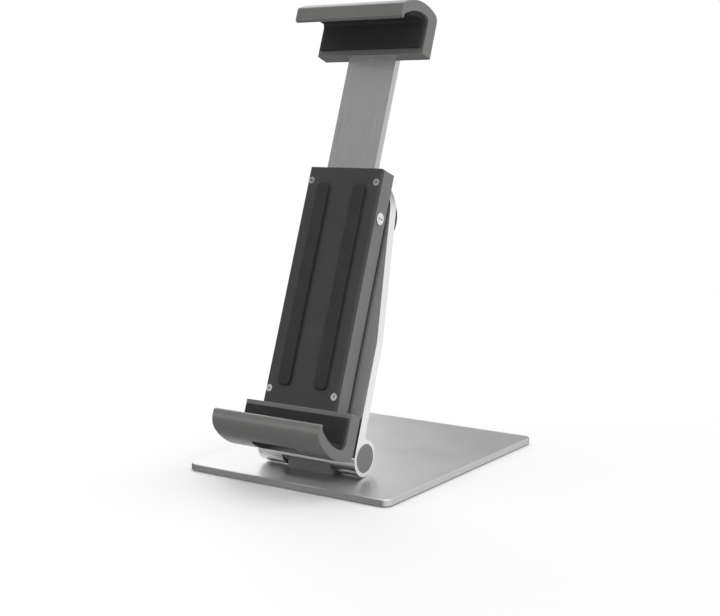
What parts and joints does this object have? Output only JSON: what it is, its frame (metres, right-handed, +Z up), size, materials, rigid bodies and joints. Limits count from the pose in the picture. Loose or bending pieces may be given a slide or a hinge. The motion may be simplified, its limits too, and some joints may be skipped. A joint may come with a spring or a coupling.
{
  "type": "tablet stand",
  "caption": "Desk stand for a tablet: flat metal base, leaning arm on a tilt hinge, turning spine with a fixed lower jaw and a sliding upper jaw.",
  "frame": {"origin": "centre of the base's underside, on the surface the stand rests on", "axes": "+Z up, -Y to the front that the tablet faces, +X to the right as the user sees it"},
  "size_m": [0.155, 0.2082, 0.3025],
  "materials": {
    "plate_steel": "brushed stainless steel",
    "arm_alu": "satin anodised, bright",
    "jaw_paint": "satin grey powder coat",
    "block_paint": "dark grey satin",
    "cap_plastic": "mid grey",
    "black_plastic": "fine grain",
    "nylon": "natural nylon",
    "rubber": "soft matt",
    "fastener_steel": "zinc plated",
    "bar_steel": "satin",
    "brass": "turned",
    "chrome": "polished"
  },
  "bodies": {
    "base": {"foot_pad": "rubber", "base_plate": "plate_steel", "hinge_block": "block_paint", "block_screws": "fastener_steel", "hinge_shaft": "fastener_steel", "friction_washer_left": "bar_steel", "friction_washer_right": "bar_steel", "cone_spring_left": "fastener_steel", "cone_spring_right": "fastener_steel", "shaft_nut_left": "fastener_steel", "shaft_nut_right": "fastener_steel"},
    "arm": {"arm": "arm_alu", "tube_bush_left": "nylon", "tube_bush_right": "nylon", "end_cap_left": "cap_plastic", "end_cap_right": "cap_plastic", "hub_bush": "nylon", "hub_cover": "black_plastic", "detent_ball_lower": "fastener_steel", "detent_ball_upper": "fastener_steel", "detent_spring_lower": "fastener_steel", "detent_spring_upper": "fastener_steel"},
    "head": {"spine_housing": "jaw_paint", "spine_cover": "black_plastic", "cover_screws": "fastener_steel", "grip_strip_left": "rubber", "grip_strip_right": "rubber", "lower_jaw": "jaw_paint", "lower_jaw_liner": "rubber", "lower_jaw_screws": "fastener_steel", "spindle": "fastener_steel", "hub_washer": "bar_steel", "hub_cone_spring": "fastener_steel", "spindle_nut": "fastener_steel", "bar_guide_lower_left": "nylon", "bar_guide_lower_right": "nylon", "bar_guide_upper_left": "nylon", "bar_guide_upper_right": "nylon", "lock_shoe": "brass"},
    "upper_jaw": {"upper_jaw": "jaw_paint", "upper_jaw_liner": "rubber", "slide_bar": "bar_steel", "upper_jaw_screws": "fastener_steel"},
    "lock": {"lock_barrel": "chrome"}
  },
  "joints": [
    {"name": "tilt", "type": "hinge", "parent": "base", "child": "arm", "pos_m": [0, -0.0597, 0.0172], "axis": [-1, 0, 0], "range_deg": [-20, 50]},
    {"name": "turn", "type": "hinge", "parent": "arm", "child": "head", "pos_m": [0, -0.02078, 0.16798], "axis": [0, -0.9397, 0.342], "continuous": true},
    {"name": "slide", "type": "slide", "parent": "head", "child": "upper_jaw", "axis": [0, 0.342, 0.9397], "range_m": [-0.075, 0.02]},
    {"name": "lock_turn", "type": "hinge", "parent": "head", "child": "lock", "pos_m": [0.028, -0.02804, 0.1653], "axis": [1, 0, 0], "range_deg": [0, 90]}
  ]
}
